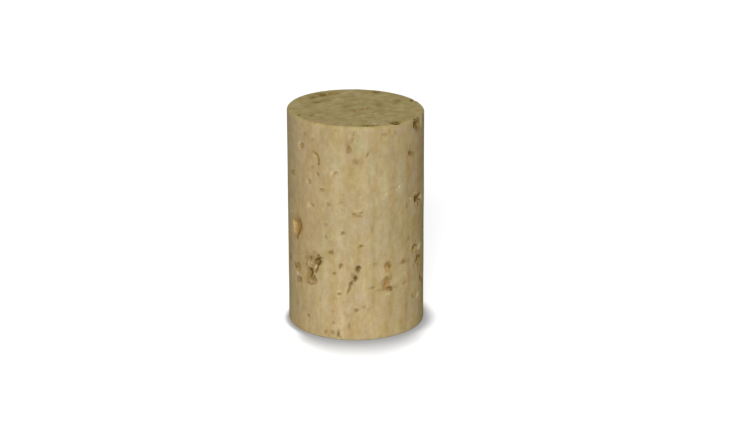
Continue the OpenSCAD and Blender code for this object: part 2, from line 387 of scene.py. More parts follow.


# Each mark is its place, then long and wide, how strong it is and, where it leans, its lean in
# degrees. The place is the turn and the height on the side, and X and Y on the top end. In each
# list the side's marks come first, from left to right, and then the top end's.

# Brown stains, most of them round a small pit, and painted shade on the shaded side of some pits
BROWN = [
    (-74.5, 12.6, 1.6, 1, 1), (-66, 28.7, 1, 1.3, 0.9), (-60, 11.8, 1.8, 1.2, 0.95, 65),
    (-59, 19.6, 3, 1.7, 0.75), (-57.8, 9.4, 1.3, 1, 0.6, -20), (-50.6, 34.4, 0.9, 0.9, 0.9),
    (-49.6, 28.3, 0.6, 0.6, 0.4), (-47, 36.7, 0.6, 0.8, 0.6), (-46, 14.9, 1, 0.9, 0.4),
    (-45.6, 13.4, 2.6, 0.4, 0.9, -14), (-45, 3.4, 0.6, 0.8, 0.7), (-45, 11.5, 2.8, 1, 0.6),
    (-44.6, 10.6, 1.6, 0.9, 0.8), (-44, 32.9, 0.8, 0.4, 0.2), (-43, 10.3, 1.4, 1.6, 0.5),
    (-43, 11.6, 1.6, 0.9, 0.9), (-42.8, 13.6, 2, 0.5, 0.4), (-42.3, 11.5, 2.2, 0.8, 0.7, -26),
    (-42.2, 28.3, 0.8, 0.6, 0.6), (-42, 9.7, 0.5, 2.2, 0.9), (-42, 14.2, 1, 2.2, 0.7),
    (-41.4, 12.4, 1.8, 0.5, 0.3), (-41, 14.5, 0.5, 1.8, 0.6), (-39.5, 15, 0.9, 1, 0.4),
    (-39.2, 24, 0.6, 0.7, 0.2), (-38.7, 31.1, 0.4, 0.7, 0.6), (-38.5, 10.7, 1.3, 0.9, 0.9),
    (-38, 14.4, 1, 0.9, 0.7), (-38, 15.3, 0.5, 0.5, 0.5), (-38, 36.1, 0.6, 0.6, 0.5),
    (-37, 15.6, 0.7, 0.8, 0.5), (-35.2, 33.6, 1.5, 0.4, 0.5, 62), (-35.1, 12.8, 1.9, 0.9, 1, -17),
    (-33.8, 29.9, 0.6, 0.6, 0.7), (-33, 32.6, 1.7, 0.5, 0.6, 18), (-31, 27.1, 0.8, 0.6, 0.5),
    (-27.3, 1.1, 0.6, 0.6, 0.6), (-25.7, 18.9, 0.9, 0.4, 0.8), (-25.7, 21.1, 0.4, 0.7, 0.7),
    (-23.8, 24.8, 1.1, 0.4, 0.6), (-21.8, 16, 0.6, 1.1, 0.7), (-21, 1.1, 0.6, 0.7, 0.4),
    (-20, 3, 0.9, 0.4, 0.5, -20), (-19.6, 5.3, 0.5, 0.4, 0.8), (-19.6, 37.7, 0.5, 0.5, 0.4),
    (-18.7, 12.3, 0.5, 0.6, 0.7), (-17.8, 30.4, 1.1, 0.4, 0.4, -20), (-15.4, 1, 1.6, 0.6, 0.2, 8),
    (-14.3, 8.6, 0.5, 0.6, 0.7), (-13.3, 13.8, 1.2, 0.5, 0.8, -8), (-12.8, 25.2, 0.6, 0.9, 0.35),
    (-11.3, 19.8, 1.1, 0.5, 0.6, -20), (-7, 4.7, 0.5, 0.5, 0.4), (-6.8, 35.6, 2, 0.6, 0.35, 6),
    (-6, 2.8, 1.4, 0.5, 0.5), (-5.7, 9.8, 2.2, 0.55, 0.8, -19), (-5.7, 34.8, 0.9, 1, 0.5),
    (-4.3, 10.6, 1, 0.7, 0.8, -30), (-4, 12.3, 0.7, 0.3, 0.7), (-3, 36.6, 1, 0.4, 0.6, -20),
    (-2.8, 10.9, 1.2, 0.5, 0.5, 20), (-1.5, 23.3, 0.9, 0.5, 0.7, 60), (-1.3, 11.9, 1.5, 0.9, 0.65, 25),
    (0, 5.7, 0.7, 0.7, 0.8), (0, 32.8, 1.1, 1.1, 0.6), (0.8, 22.95, 0.35, 1.6, 0.6),
    (1.5, 13.3, 1.2, 0.9, 0.7), (1.9, 23.1, 1.1, 0.4, 0.7, 88), (4.4, 17.5, 0.6, 0.8, 0.8),
    (4.4, 23.6, 0.8, 0.4, 0.6, -60), (6.3, 6.3, 0.6, 0.8, 0.4), (10, 33.8, 1.1, 0.4, 0.3, -10),
    (13.6, 20.5, 1.6, 0.4, 0.3), (14.2, 9.7, 0.7, 0.5, 0.4), (16, 14.1, 0.5, 1.1, 0.5),
    (20, 9.2, 0.5, 1.8, 0.3), (24.5, 37.4, 0.5, 1.2, 0.5), (27, 14.3, 0.5, 1.2, 0.1),
    (27.2, 11.2, 1, 0.9, 0.5), (28.2, 9, 0.6, 1.5, 0.4), (29.5, 13.4, 1.4, 0.8, 0.6),
    (30.1, 11.3, 1.8, 0.5, 0.6), (32.7, 27.5, 0.5, 1.8, 0.3), (33.4, 11.5, 0.4, 0.6, 0.2),
    (34.6, 9.3, 0.4, 1.2, 0.5), (35, 37.4, 0.5, 0.8, 0.3), (42, 1.2, 0.6, 0.7, 0.4),
    (44, 13.4, 0.6, 2.2, 0.6), (44.8, 9.6, 0.5, 1.3, 0.6), (47.4, 23.5, 0.9, 0.5, 0.7),
    (49.6, 17.5, 0.6, 0.6, 0.7), (51, 33.9, 1.8, 0.4, 0.5), (53.5, 32.7, 1, 1.4, 0.7),
    (58, 6.3, 0.8, 1.1, 0.6), (59.2, 15.2, 0.9, 1, 0.7), (60.5, 15.3, 1, 1.2, 0.6),
    (61, 14.7, 1.2, 1, 0.7), (62, 38.4, 1, 1.6, 0.8), (63.2, 24, 1.6, 1.5, 0.7),
    (63.5, 37.2, 2.6, 1.5, 0.8), (64.4, 11.8, 0.9, 0.9, 0.8), (66.4, 12.8, 1.3, 1.6, 0.65),
    (66.5, 24.2, 0.8, 1.2, 0.4), (71, 27.4, 0.5, 1.2, 0.7), (74, 8.2, 2, 1.2, 0.6, 35),
    *on_top(
        (-9.9, -5.3, 1.3, 0.6, 1, -20), (-8.5, 7.2, 0.9, 0.5, 0.4, -40), (-7.7, -5.3, 1, 0.5, 1, -20),
        (-7.5, 6.2, 1.8, 1.1, 1, -60), (-7, 3, 1.8, 1.2, 1, -60), (-5.6, 8, 1.4, 2.4, 1),
        (-5.3, 4.3, 1.7, 1.2, 0.8, -60), (-4.1, 8.6, 1.2, 2, 0.7), (-1.6, 0.7, 1.3, 0.9, 0.9, -60),
        (-0.4, -1.6, 1, 0.8, 0.8, -60), (1.1, -0.4, 1.2, 0.7, 0.8, -60), (1.7, -8, 0.9, 0.6, 0.5, -60),
        (2, -0.1, 0.9, 0.4, 0.9, -30), (2.1, -11, 1.8, 0.9, 1, -84), (3.1, -2.8, 0.8, 0.5, 0.7, -60),
        (3.6, 10, 1.5, 1.1, 0.9, -60), (4.1, -10.3, 0.9, 0.6, 0.6, -60), (4.1, 2, 2, 0.9, 0.5, -20),
        (5.4, -8.2, 1.2, 0.4, 0.4, -30), (6, -1.2, 1.2, 0.5, 0.6, -20), (6.8, -8.8, 1.9, 1.1, 1, -70),
        (7.2, 4.2, 2.4, 1.2, 0.7, -20), (9.9, 5.1, 1.3, 0.7, 1, -10)),
]

# Dark cores, where a pit is deep, and painted shade on the floors and walls of some pits past
# their near lip
DARK = [
    (-60.5, 11.8, 1.1, 0.7, 0.2, 65), (-58.5, 18, 2.2, 0.7, 0.55), (-57.5, 9.5, 0.9, 0.7, 0.3, -20),
    (-42.4, 11.2, 1.2, 0.6, 0.9, -20), (-42, 12, 1.1, 0.5, 0.9), (-41, 14.5, 0.5, 0.6, 0.5),
    (-39.9, 10.7, 1.2, 0.5, 0.3, 12), (-35, 13, 1.3, 0.5, 0.7, -17), (-34.8, 14.3, 0.9, 0.7, 0.8, -40),
    (-33.4, 13.7, 0.8, 0.7, 0.9), (-32.4, 31.9, 0.6, 0.5, 0.6), (-21.8, 16, 0.5, 0.8, 0.1),
    (-15.6, 1.2, 1, 0.4, 0.6), (-5.7, 34.5, 0.5, 0.9, 0.4), (-5.3, 9.9, 1.2, 0.35, 0.2, -19),
    (-4, 10.7, 0.6, 0.5, 0.4, -45), (-0.7, 11.4, 0.9, 0.45, 0.8), (1.6, 13.3, 1.1, 0.6, 0.55),
    (29.2, 13.4, 0.8, 0.5, 0.35), (30.6, 9.1, 0.7, 0.5, 0.8), (44.8, 13.5, 0.5, 1.2, 0.3),
    (53.5, 32.7, 0.7, 0.9, 0.5), (60.5, 15.3, 0.7, 0.8, 0.4), (62, 23.9, 0.8, 0.9, 1),
    (62.2, 12.4, 0.7, 0.6, 0.15), (62.5, 37.4, 2, 0.7, 0.8, -35), (64.4, 23.1, 0.8, 0.5, 0.6),
    (65, 38.5, 0.6, 0.6, 0.5), (65.2, 12.9, 1, 0.8, 0.9), (66, 24.2, 1.5, 0.8, 1, -62),
    (66.5, 13, 0.9, 1.2, 0.55), (68.8, 23.5, 0.5, 0.7, 0.7), (74.6, 8.3, 1.5, 0.8, 0.4, 35),
    *on_top(
        (-7.5, 6.1, 0.9, 0.6, 0.5, -60), (-5.6, 7.8, 1, 1.4, 0.5), (2, -0.1, 0.8, 0.4, 0.4, -30),
        (2.2, -10.9, 1.8, 1, 1, -84), (3.6, 10, 1.2, 0.8, 0.4, -60), (6.8, -8.8, 1.9, 1, 1, -72),
        (9.9, 5.1, 1, 0.5, 1, -10)),
]

# Rust: the orange-brown of softer tissue round some lenticels, and columns of it
RUST = [
    (-64, 19.2, 3.4, 2.2, 0.9), (-56.5, 19.6, 3.4, 1.6, 1), (-44.6, 10.6, 1.8, 1.2, 0.3),
    (-17.8, 30.4, 1.1, 0.4, 0.3, -20), (-6.8, 35.8, 2.6, 0.8, 0.45, 6), (10, 33.9, 1.2, 0.5, 0.2, -10),
    (15.5, 27.5, 0.5, 0.5, 0.7), (26.8, 10, 2, 1.2, 1), (27.4, 13.1, 1.8, 1.2, 0.8),
    (43.5, 21.5, 3.2, 0.5, 0.5), (48.7, 30.8, 3.6, 0.5, 0.6), (50, 11, 6, 0.6, 0.6),
    (62, 37.3, 1, 0.9, 0.3), (64.5, 23, 0.8, 0.7, 0.6), (65, 12, 0.6, 0.8, 0.3),
    *on_top(
        (-6.8, 2.9, 1.3, 0.8, 0.4, -60), (-6.2, 7.7, 0.9, 1.5, 0.3), (-4, 8.5, 1.2, 2, 0.8),
        (10.8, -1.4, 1.6, 0.6, 0.6)),
]

# Pale tissue and light specks, with painted highlights on lips of pits that face the light
# and painted light over the shade of some pits' walls
PALE = [
    (-66.3, 18.7, 2.8, 1.2, 0.45), (-58.8, 10.6, 0.6, 0.9, 1), (-57.4, 21, 0.9, 1.3, 0.9),
    (-54.6, 20.2, 1.8, 0.5, 0.9, 8), (-54, 34.4, 1.4, 0.8, 0.5), (-45, 28.4, 0.8, 0.5, 0.5),
    (-43.4, 13.2, 1.3, 0.8, 0.3), (-43, 24, 1.3, 0.5, 0.8), (-40.3, 13.5, 1, 0.5, 0.3),
    (-38.4, 12.4, 1.4, 0.7, 1.2, -8), (-37.2, 33.2, 1, 0.5, 0.2), (-36, 10.5, 1.3, 0.4, 0.9, 10),
    (-30.6, 14.6, 1.4, 0.6, 1), (-20.4, 30.5, 1.1, 0.5, 0.5, -20), (-14.3, 9.2, 0.4, 0.6, 0.7),
    (-13.3, 18.8, 0.8, 0.4, 0.5), (-7.6, 9.7, 1.4, 0.4, 0.5, -30), (-5, 37.4, 0.8, 0.5, 0.3),
    (-0.2, 12.3, 0.4, 0.5, 0.15), (1.5, 24, 0.5, 1, 0.3), (26, 26.7, 0.6, 0.6, 0.4),
    (27.4, 8.3, 0.5, 1.1, 0.6), (28.6, 9.5, 0.5, 0.7, 0.8), (39.7, 27.3, 1, 1, 0.2),
    (44.8, 11.3, 1, 0.7, 0.4), (51.8, 24.7, 0.5, 0.5, 0.8), (53.5, 20, 0.5, 0.6, 0.1),
    (58, 25.3, 0.5, 1.2, 0.35), (64, 6.1, 1, 1.3, 1), (67.2, 15, 1.2, 1.8, 1.2), (71, 37.6, 2, 1.2, 1),
    (73.5, 23.2, 1, 1, 0.5), (74, 23.8, 1.7, 1.4, 0.5),
    *on_top(
        (-6.6, -5, 1.4, 0.6, 0.5), (-6.6, 5, 2, 0.8, 0.3, -50), (-3, 5, 1.4, 1.2, 0.5),
        (-2, 8.8, 2.6, 0.8, 0.3, -20), (-1, -6.4, 1.2, 1, 0.5), (0.4, 7, 1.6, 0.8, 0.3),
        (1.2, -4.8, 1.2, 1, 0.5), (3.2, -9.4, 1.2, 0.8, 0.5), (3.2, 0.2, 1, 0.9, 0.5),
        (7.8, -1.2, 1.2, 1.2, 0.5)),
]

# Tissue with a pink tone and with a green tone, the latter on the ends a yellow-green
PINK = [
    (-57, 37, 3, 2.2, 0.5), (-50, 22, 26, 7, 0.4), (-20, 5, 10, 1.2, 0.3), (-5.5, 31.5, 9, 0.9, 0.3),
    (15.8, 29, 3, 0.8, 1), (24, 11, 9, 2.4, 0.5), (27.6, 12.5, 1.2, 1.2, 0.8), (33.4, 32.5, 14, 1, 0.4),
    (45, 12, 6, 2, 0.5),
    *on_top(
        (-9.4, -1.5, 3, 0.6, 0.8), (-7, -8.9, 3.4, 1.3, 1, 52), (-6.6, 5.2, 2.4, 1, 0.3, -50),
        (-4.8, -9.4, 2.4, 1.2, 0.8, 60), (-2, 8.8, 3, 1, 0.6, -20), (8.1, 0.9, 2.2, 0.5, 0.7),
        (10.6, -3.8, 3, 0.7, 1, -20)),
]
GREEN = [
    (-72, 5, 8, 2.6, 0.7), (-70, 21, 4, 2.4, 0.7), (-60, 5, 6, 2.4, 0.2), (-28, 16.5, 3, 0.8, 0.4),
    (-15.8, 32.5, 2.4, 1.8, 0.7), (-14, 16, 5, 0.8, 0.5), (2.5, 35.6, 3, 2.4, 0.9),
    (13.6, 31.6, 4.8, 0.9, 0.6), (24.4, 28.5, 9, 0.9, 0.5), (27, 20, 9, 2.6, 0.4),
    (40.6, 30, 7, 1.2, 0.6), (74, 12, 26, 2.4, 0.7),
    *on_top(
        (-10.2, -1.4, 3.4, 1.5, 1, 10), (-8.3, -2.6, 3, 1.6, 0.7, 20), (-6.9, 7.4, 1.6, 0.7, 0.8, -50),
        (-4.5, -3.6, 3, 3, 0.5), (-3, 8.5, 2, 0.7, 0.6), (5.5, 8.6, 2.2, 1.1, 0.9, -40),
        (8.8, -1.6, 1.6, 1.4, 0.6), (8.9, 4.2, 2, 1.2, 1)),
]

# Yellower tissue
YELLOW = [
    (-50, 8, 12, 3, 0.3), (-1, 30, 4.6, 3.8, 0.7), (28, 12, 6, 2.4, 0.6), (29, 12, 10, 1.4, 0.6),
    (41, 9, 12, 2.5, 0.4), (52, 14, 14, 3, 0.5), (66, 12, 26, 3.6, 0.6), (70, 30, 16, 2.4, 0.4),
    (73, 14, 27, 2.8, 1),
]

# Growth layers of the bark, as upright columns on the side, lighter and darker than the rest
LIGHT = [
    (-62, 3, 3.4, 1.6, 1), (-62, 9, 3, 1.2, 0.9), (-62, 16.2, 1.6, 2, 0.9), (-53, 6, 3.4, 2, 0.8),
    (-50, 5, 10, 3, 0.3), (-33.5, 16.3, 1.4, 1.6, 0.4), (-33, 6, 9, 0.9, 0.4), (-33, 9, 3, 1.4, 1),
    (-27, 6, 15, 1.7, 0.4), (-19, 27, 3, 1.2, 1), (-19, 35, 4, 1.6, 0.7), (-16, 25.5, 8, 1.6, 0.9),
    (-15, 14, 26, 2.4, 0.6), (-14.5, 28, 15, 2, 0.8), (-14, 9, 3.4, 1.4, 1.2), (-12, 4, 8, 0.9, 0.7),
    (-11, 12, 12, 1.6, 0.6), (-10, 9, 3.4, 1.3, 1), (-10, 24, 3.4, 1.3, 1), (-9, 8, 12, 1.2, 0.5),
    (-5.5, 6, 3.4, 1.2, 0.9), (-3, 23, 12, 1.6, 0.6), (0, 18, 3.2, 1.4, 1), (0, 22, 6, 1.6, 0.7),
    (5, 24, 3.2, 1.3, 1.5), (7, 17, 12, 1.4, 0.6), (7.5, 26, 12, 1.6, 0.9), (8, 9, 14, 2, 0.6),
    (8, 12, 3.4, 2.2, 1), (9.5, 14, 8, 1.6, 0.7), (10, 12, 3, 1.6, 1.1), (10, 15, 3.2, 1.3, 1.6),
    (10, 37, 4, 3, 0.3), (14, 30, 3, 1.2, 0.8), (19, 6, 3.4, 1.3, 0.8), (19, 25, 6, 1.8, 0.6),
    (21.5, 28.5, 11, 1.8, 0.5), (22, 12, 3.4, 1, 0.9), (22.5, 3, 7, 1, 0.4), (24.5, 14.6, 1.2, 2, 0.8),
    (29, 26, 4, 1.6, 0.8), (31, 26, 8, 1.6, 0.3), (33, 12, 3.4, 1.3, 0.9), (34.5, 15, 9, 0.7, 0.5),
    (38, 12, 8, 2.4, 0.7), (38.5, 29, 10, 1.6, 0.5), (39, 9, 9, 1.8, 0.7), (43, 7.5, 5, 1.4, 0.9),
    (43, 9, 3.4, 1.3, 1.3), (47, 11, 6, 1.6, 0.8), (53, 15, 20, 0.9, 0.6), (55, 6, 4.4, 2.2, 0.8),
    (57, 4.5, 3, 1.4, 0.6), (57, 8, 6, 1.4, 1), (57, 12, 3.4, 1.4, 1.6), (57, 23, 4, 1.2, 0.9),
    (60, 13, 10, 2, 0.6), (62, 24, 6, 1.6, 0.5), (64, 15, 2.4, 2, 1), (64.5, 15.5, 2, 2, 1.5),
    (65, 6, 3, 2, 0.8), (67, 8.5, 3, 1.4, 1.5), (68.5, 9.2, 3, 1.4, 1.4),
    *on_top(
        (-10.2, 1, 3, 0.8, 0.4), (-6, -9.4, 3, 5, 0.8, -30), (0, -6.9, 1.6, 1.4, 0.5),
        (1.4, -4.8, 1.5, 1.4, 0.6), (10.8, -2, 5, 0.8, 0.5)),
]
SHADE = [
    (-72, 15, 4, 1.6, 0.7), (-69, 34, 5, 2, 0.4), (-60, 25, 8, 1.6, 0.5), (-54, 24, 3, 1.6, 0.4),
    (-53, 14, 5, 1.6, 0.5), (-53, 24, 3.4, 1.6, 0.7), (-49, 17, 5, 1.6, 0.6), (-48, 18, 3.4, 1.4, 0.8),
    (-42, 14, 3.6, 2.4, 0.5), (-38, 27, 2.8, 1.2, 0.6), (-37, 19, 8, 1.6, 0.35),
    (-31, 34.5, 4.5, 2.2, 0.45), (-29, 36, 3, 1.2, 0.6), (-25, 36.5, 3.6, 2, 0.4),
    (-24, 18, 3, 1.2, 0.5), (-19.5, 10, 9, 0.7, 0.3), (-10, 36.2, 2.4, 1.2, 0.9),
    (-8, 36, 2.4, 1.6, 0.6), (-5.5, 5, 10, 1.2, 0.4), (-5.5, 20, 10, 0.7, 0.3), (-3, 35, 2.4, 1, 0.3),
    (0, 6, 3, 1.2, 0.5), (0, 36.4, 2.4, 1.6, 0.5), (12, 36, 3, 4, 0.4), (14.5, 14, 22, 0.8, 1),
    (18, 14, 16, 0.7, 0.2), (19, 12, 3, 1.2, 0.5), (27, 2.5, 6, 1.2, 0.8), (31, 5, 9, 0.6, 0.4),
    (31, 22, 26, 0.9, 0.5), (33, 30, 3.2, 1.2, 0.9), (41.8, 20, 8, 0.5, 0.4), (43, 24, 3.2, 1.2, 0.9),
    (43, 26, 6, 1.4, 0.4), (47, 17, 36, 1.1, 0.8), (48, 18, 3.4, 1.2, 1.4), (50, 28, 8, 2.4, 0.5),
    (53, 6, 3, 1.2, 0.5), (53, 18, 3, 1, 0.5), (53, 33, 3.4, 1.5, 0.9), (57, 30, 5, 1.4, 0.8),
    (58, 20, 36, 1.1, 0.3), (67, 26, 5, 1.6, 0.9), (67, 31, 8, 2, 0.5),
    *on_top(
        (-9.4, -5.4, 2.2, 1.5, 0.6), (-7.4, -5.8, 1.6, 1.2, 0.5), (-7, 2.9, 2.2, 1.5, 0.6, -40),
        (-5.5, 8.2, 2.6, 2.6, 0.8, -60), (-4.8, 4.3, 2, 1.2, 0.8, -30), (-1.7, 0.8, 1.6, 1.3, 0.7),
        (-0.4, -1.7, 1.8, 1.4, 0.8), (1.4, -0.7, 1.5, 1.7, 0.7), (1.7, -8.6, 1.5, 0.9, 0.6),
        (2.1, -10.8, 1.2, 1.6, 0.6), (3.4, 9.9, 1.6, 1.8, 0.7), (3.6, -6.2, 2, 1.2, 0.6),
        (4.1, 2, 2.6, 1.3, 0.6), (7.2, 4.2, 2.8, 1.1, 1)),
]


# ---------------- the surface

def growth_layers():
    """How light the bark's growth layers are, from -1 to 1. In front, listed marks stand for them."""
    # the layers run up the stopper, and wave a little
    bark = np.cos(BARK_DIR) * PLACE[:, 0] + np.sin(BARK_DIR) * PLACE[:, 1]
    bark = bark + 0.5 * noise(PLACE * (1, 1, 0.12), 5.0, 31)
    layers = noise(np.stack([bark, np.zeros(COUNT), PLACE[:, 2] * 0.06], -1), LAYER_WIDTH, 33)
    unlisted = smooth(np.abs(TURN), *LAYERS_TAKE_OVER) * 0.8 + 0.2
    return layers * np.where(NORMAL[:, 2] > -0.5, unlisted, 1)


def wander(seed):
    """How far along the surface, one way, each place looks for its pit's depth."""
    return WANDER * fbm(PLACE, 0.9, seed, 3) + FINE_WANDER * noise(PLACE, 0.45, seed + 4)


def unevenness(layers):
    """Depth of the surface's waves and grooves, less on the end that it stands on."""
    waves = WIDE_WAVE * (1 - noise(PLACE, 6.0, 41)) + FINE_WAVE * (1 - fbm(PLACE, 1.1, 43, 2))
    return (waves + GROOVE * (1 - layers)) * np.where(NORMAL[:, 2] < -0.99, 0.3, 1)


def material_fields(pits, pores, cut_end, layers):
    """The fields that the material reads: each is a value for every place."""
    up = NORMAL[:, 2]
    in_edge = 1 - smooth(np.abs(up), 0.7, 0.98)
    # round the back no marks are listed, and the pits themselves take brown and dark by their depth,
    # as stains and partly as painted shade
    behind = BACK_STAIN_AND_SHADE * smooth(np.abs(TURN), *STAINS_TAKE_OVER) * (1 - cut_end)
    fields = {
        # the pits' brown lining, darker with depth: partly the cork's own colour and partly painted
        # shade
        "hollow": smooth(pits + 0.8 * pores * (1 - 0.5 * cut_end), 0.03, 0.35),
        "deep": smooth(pits, 0.35, 1.1),
        "cut_end": cut_end,
        # painted shade: the top's rounded edge, which faces the key lamp, is darkened
        "rim": smooth(up, 0.1, 0.4) * in_edge,
        # painted light: the bottom's rounded edge, which faces the shaded floor, is made pale
        "lit_foot": smooth(-up, 0.05, 0.5) * in_edge,
        "layer": layers,
        "brown": np.maximum(paint(BROWN, STAIN_SOFT), behind * smooth(pits, 0.06, 0.5)),
        "dark": np.maximum(paint(DARK, STAIN_SOFT), behind * smooth(pits, 0.35, 1.0)),
        "rust": paint(RUST, STAIN_SOFT),
        # pale specks, partly painted highlights on lit pit lips and painted light over pit shade
        "pale_and_lit": paint(PALE, STAIN_SOFT),
        "light": paint(LIGHT, TISSUE_SOFT, LAYER_RAGGED),
        "shade": paint(SHADE, TISSUE_SOFT, LAYER_RAGGED),
    }
    for name, marks in (("pink", PINK), ("green", GREEN), ("yellow", YELLOW)):
        fields[name] = paint(marks, TISSUE_SOFT)
    return fields


def make_surface():
    """Depth of every lattice place under the plain outline, and the fields for the material."""
    pits = blurred(pit_depths(wander(1), wander(11)), PIT_BLUR)
    crumbs = smooth(pits, 0.0, 0.12) * (CRUMB * fbm(PLACE, 0.35, 21, 3) + CRUMB_LOSS)
    cut_end = smooth(np.abs(NORMAL[:, 2]) + 0.25 * fbm(PLACE, 0.8, 51, 2), 0.15, 0.85)
    pores = dents(scattered(np.random.default_rng(20), PORES, *PORE_SIZE)) * (1 - 0.5 * cut_end)
    layers = growth_layers()
    depth = pits + np.maximum(crumbs, -pits) + pores
    depth = depth + dents(BROWN, BROWN_DENT) + dents(DARK, DARK_DENT)
    depth = np.maximum(depth + unevenness(layers), 0.0)
    return depth, material_fields(pits, pores, cut_end, layers)


# ---------------- from the lattice to a mesh

def cell_flags(chart, near):
    """Which coarse and half-size cells of a chart hold a flagged place, edges included."""
    grid = near[chart.span].reshape(chart.shape)
    if chart is SIDE:
        grid = np.concatenate([grid, grid[:, :1]], 1)

    def cells(step):
        rows, cols = (grid.shape[0] - 1) // step, (grid.shape[1] - 1) // step
        out = np.zeros((rows, cols), bool)
        for i in range(step + 1):
            for j in range(step + 1):
                out |= grid[i:i + rows * step:step, j:j + cols * step:step]
        return out

    return cells(FINE), cells(HALF)


def neighbours(chart, flags):
    """Each cell's neighbour flags: below, right, above, left. Nothing lies past a chart's edge."""
    out = []
    for axis, shift in ((0, 1), (1, -1), (0, -1), (1, 1)):
        moved = np.roll(flags, shift, axis)
        edge = 0 if shift == 1 else -1
        if axis == 0:
            moved[edge, :] = False
        elif chart is not SIDE:
            moved[:, edge] = False
        out.append(moved)
    return out


def rim_cells(n):
    """The rim cells of an end's chart of n by n cells, in order of turn from +X."""
    first, last = np.zeros(n, int), np.full(n, n - 1)
    up, down = np.arange(n), np.arange(n)[::-1]
    rows = np.concatenate([up, last, down, first])
    cols = np.concatenate([last, down, first, up])
    return np.roll(rows, -(n // 2)), np.roll(cols, -(n // 2))


def share_rims(flags):
    """Makes the side's first and last rows and the ends' rims agree on which cells are split."""
    for chart, row in ((BOTTOM, 0), (TOP, -1)):
        rim = rim_cells(len(flags[chart]))
        np.logical_or.at(flags[chart], rim, flags[SIDE][row])
        flags[SIDE][row] = flags[chart][rim]


def quartered(flags):
    """The flags of cells, one for each of their four half-size cells."""
    return np.kron(flags, np.ones((2, 2), bool))


def split_cells(want_half, want_fine):
    """Which coarse cells are split into half-size ones, and which of those into the finest."""
    halves, fines = {}, {}
    for chart in CHARTS:
        halves[chart] = cell_flags(chart, want_half | want_fine)[0]
        fines[chart] = cell_flags(chart, want_fine)[1]
    for _ in range(SPLIT_PASSES):
        share_rims(fines)
        for chart in CHARTS:
            rows, cols = halves[chart].shape
            coarse = fines[chart].reshape(rows, 2, cols, 2).any((1, 3))
            halves[chart] |= coarse
            for moved in neighbours(chart, coarse):
                halves[chart] |= moved
        share_rims(halves)
    return halves, fines


def lattice_index(chart, row, col):
    """The number of a lattice place. An end's rim is the side's first or last row."""
    if chart is SIDE:
        return row * chart.shape[1] + col % chart.shape[1]
    n = chart.shape[0] - 1
    own = chart.first + row * (n + 1) + col
    turns = TURN_CELLS * FINE
    half = n // 2
    rim = np.where(col == n, row - half,
                   np.where(row == n, n + half - col,
                            np.where(col == 0, 2 * n + half - row, 3 * n + col - half)))
    on_rim = (col == n) | (row == n) | (col == 0) | (row == 0)
    side_row = 0 if chart is BOTTOM else SIDE.shape[0] - 1
    return np.where(on_rim, side_row * turns + rim % turns, own)


def cell_triangles(chart, step, row, col, split_edges, depth):
    """Triangles of the cells whose corner is at row, col: two each, or a fan if an edge is split."""
    corner = [lattice_index(chart, row, col), lattice_index(chart, row, col + step),
              lattice_index(chart, row + step, col + step), lattice_index(chart, row + step, col)]
    out = []
    whole = ~np.any(split_edges, 0)
    a, b, c, d = (x[whole] for x in corner)
    slash = np.abs(depth[a] - depth[c]) <= np.abs(depth[b] - depth[d])
    for keep, tris in ((slash, ((a, b, c), (a, c, d))), (~slash, ((a, b, d), (b, c, d)))):
        out += [np.stack([x[keep] for x in t], -1) for t in tris]
    h = step // 2
    if h and (~whole).any():
        middle = lattice_index(chart, row + h, col + h)
        mids = [lattice_index(chart, row, col + h), lattice_index(chart, row + h, col + step),
                lattice_index(chart, row + step, col + h), lattice_index(chart, row + h, col)]
        for k in range(4):
            p, q, m = corner[k], corner[(k + 1) % 4], mids[k]
            cut = split_edges[k] & ~whole
            uncut = ~split_edges[k] & ~whole
            out.append(np.stack([middle, p, q], -1)[uncut])
            out.append(np.stack([middle, p, m], -1)[cut])
            out.append(np.stack([middle, m, q], -1)[cut])
    return out


def make_triangles(halves, fines, depth):
    """All the triangles, as places of the lattice, facing out."""
    found = []
    for chart in CHARTS:
        half, fine = halves[chart], fines[chart]
        full_fine = fine & quartered(half)
        tris = []
        row, col = np.nonzero(~half)
        edges = [m[row, col] for m in neighbours(chart, half)]
        tris += cell_triangles(chart, FINE, row * FINE, col * FINE, edges, depth)
        row, col = np.nonzero(quartered(half) & ~fine)
        edges = [m[row, col] for m in neighbours(chart, full_fine)]
        tris += cell_triangles(chart, HALF, row * HALF, col * HALF, edges, depth)
        row, col = np.nonzero(full_fine)
        none = [np.zeros(len(row), bool)] * 4
        for i in range(HALF):
            for j in range(HALF):
                tris += cell_triangles(chart, 1, row * HALF + i, col * HALF + j, none, depth)
        tris = np.concatenate(tris)
        found.append(tris[:, ::-1] if chart is BOTTOM else tris)
    return np.concatenate(found)


def make_skin():
    """The stopper's closed skin, with the fields that its material reads as attributes."""
    depth, fields = make_surface()
    relief = largest_near(depth, 1) + largest_near(-depth, 1)
    want_fine = relief > FINE_RELIEF
    want_half = largest_near((relief > HALF_RELIEF).astype(float), 2) > 0
    tris = make_triangles(*split_cells(want_half, want_fine), depth)
    used, faces = np.unique(tris, return_inverse=True)
    points = (PLACE[used] - NORMAL[used] * depth[used, None]) * MM
    points = np.clip(points, CAD_LOW, CAD_HIGH)
    data = bpy.data.meshes.new("cork_skin")
    data.from_pydata(points, [], faces.reshape(-1, 3))
    data.shade_smooth()
    for name, values in fields.items():
        data.attributes.new(name, "FLOAT", "POINT").data.foreach_set("value", values[used])
    skin = bpy.data.objects.new("cork_skin", data)
    bpy.context.scene.collection.objects.link(skin)
    return skin


# ---------------- the material

def srgb(red, green, blue):
    """A colour as seen on screen, 0 to 255, as the linear colour that a shader takes."""
    linear = [(c / 255 / 12.92) if c <= 10 else ((c / 255 + 0.055) / 1.055) ** 2.4
              for c in (red, green, blue)]
    return (*linear, 1.0)


